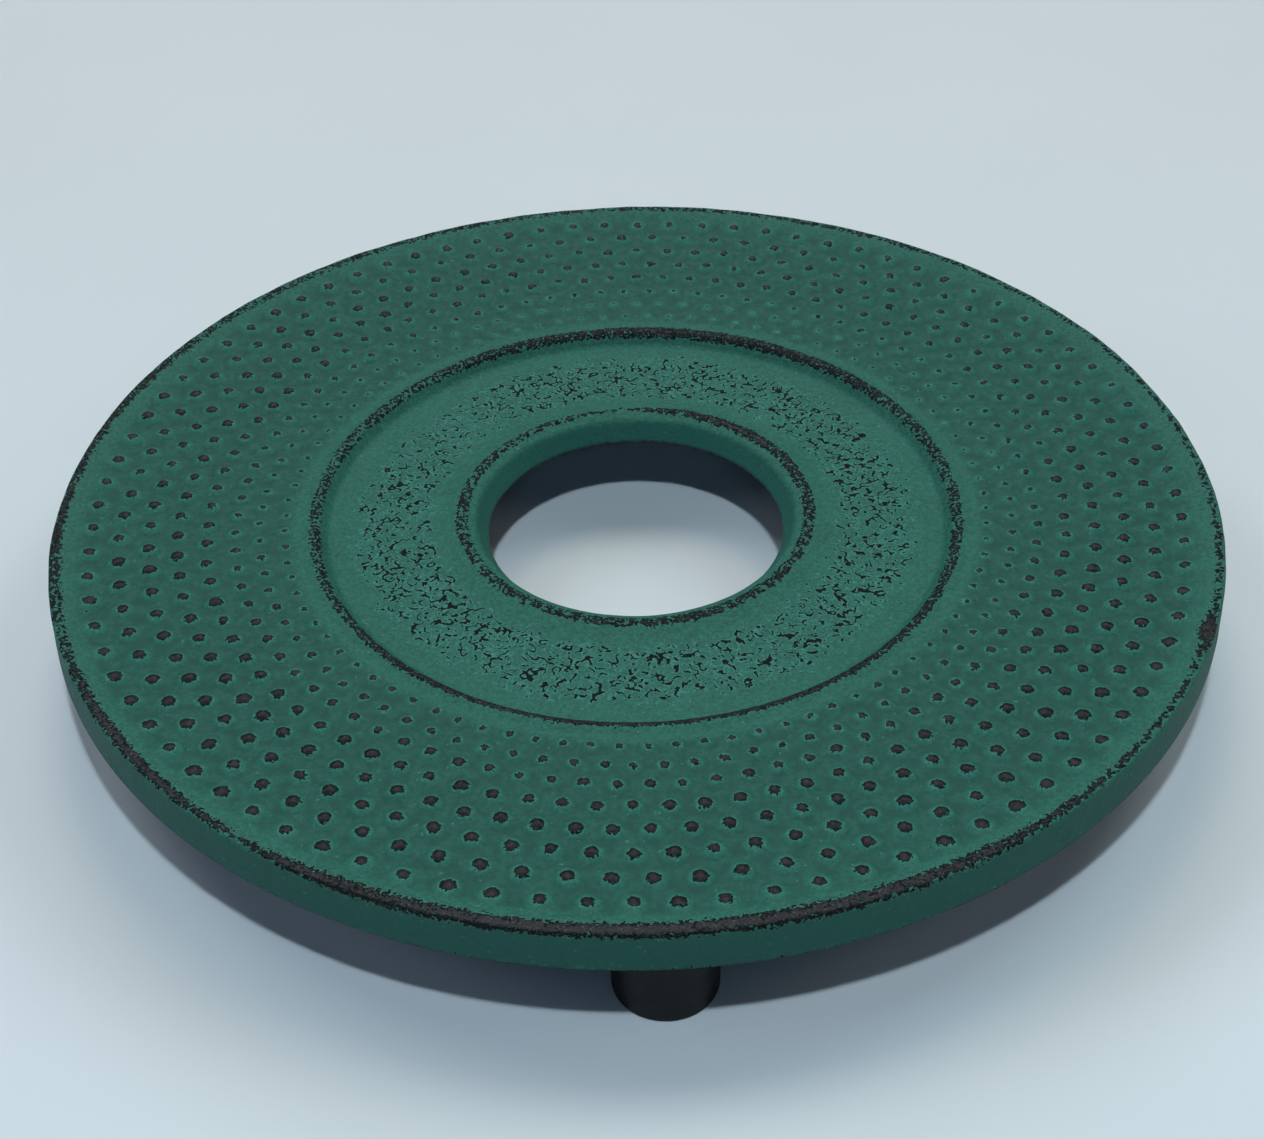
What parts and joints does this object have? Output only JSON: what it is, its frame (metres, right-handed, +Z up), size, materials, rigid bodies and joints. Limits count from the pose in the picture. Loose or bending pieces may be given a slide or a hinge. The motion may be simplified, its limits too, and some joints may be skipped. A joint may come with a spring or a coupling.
{
  "type": "teapot trivet",
  "caption": "Round cast-iron teapot trivet with staggered rings of hobnails, a raised ring, a hole with a worn collar in the middle and rubber feet.",
  "frame": {"origin": "on the tabletop, under the centre of the hole", "axes": "+Z up, along the axis of the hole; the front foot is on the -Y side"},
  "size_m": [0.1504, 0.1504, 0.0165],
  "materials": {
    "painted_iron": "satin green paint, worn to bare iron on the hobnails, the raised ring and the rim",
    "foot_rubber": "matt black"
  },
  "bodies": {
    "root": {"trivet_plate": "painted_iron", "rubber_foot_1": "foot_rubber", "rubber_foot_2": "foot_rubber", "rubber_foot_3": "foot_rubber"}
  },
  "joints": []
}
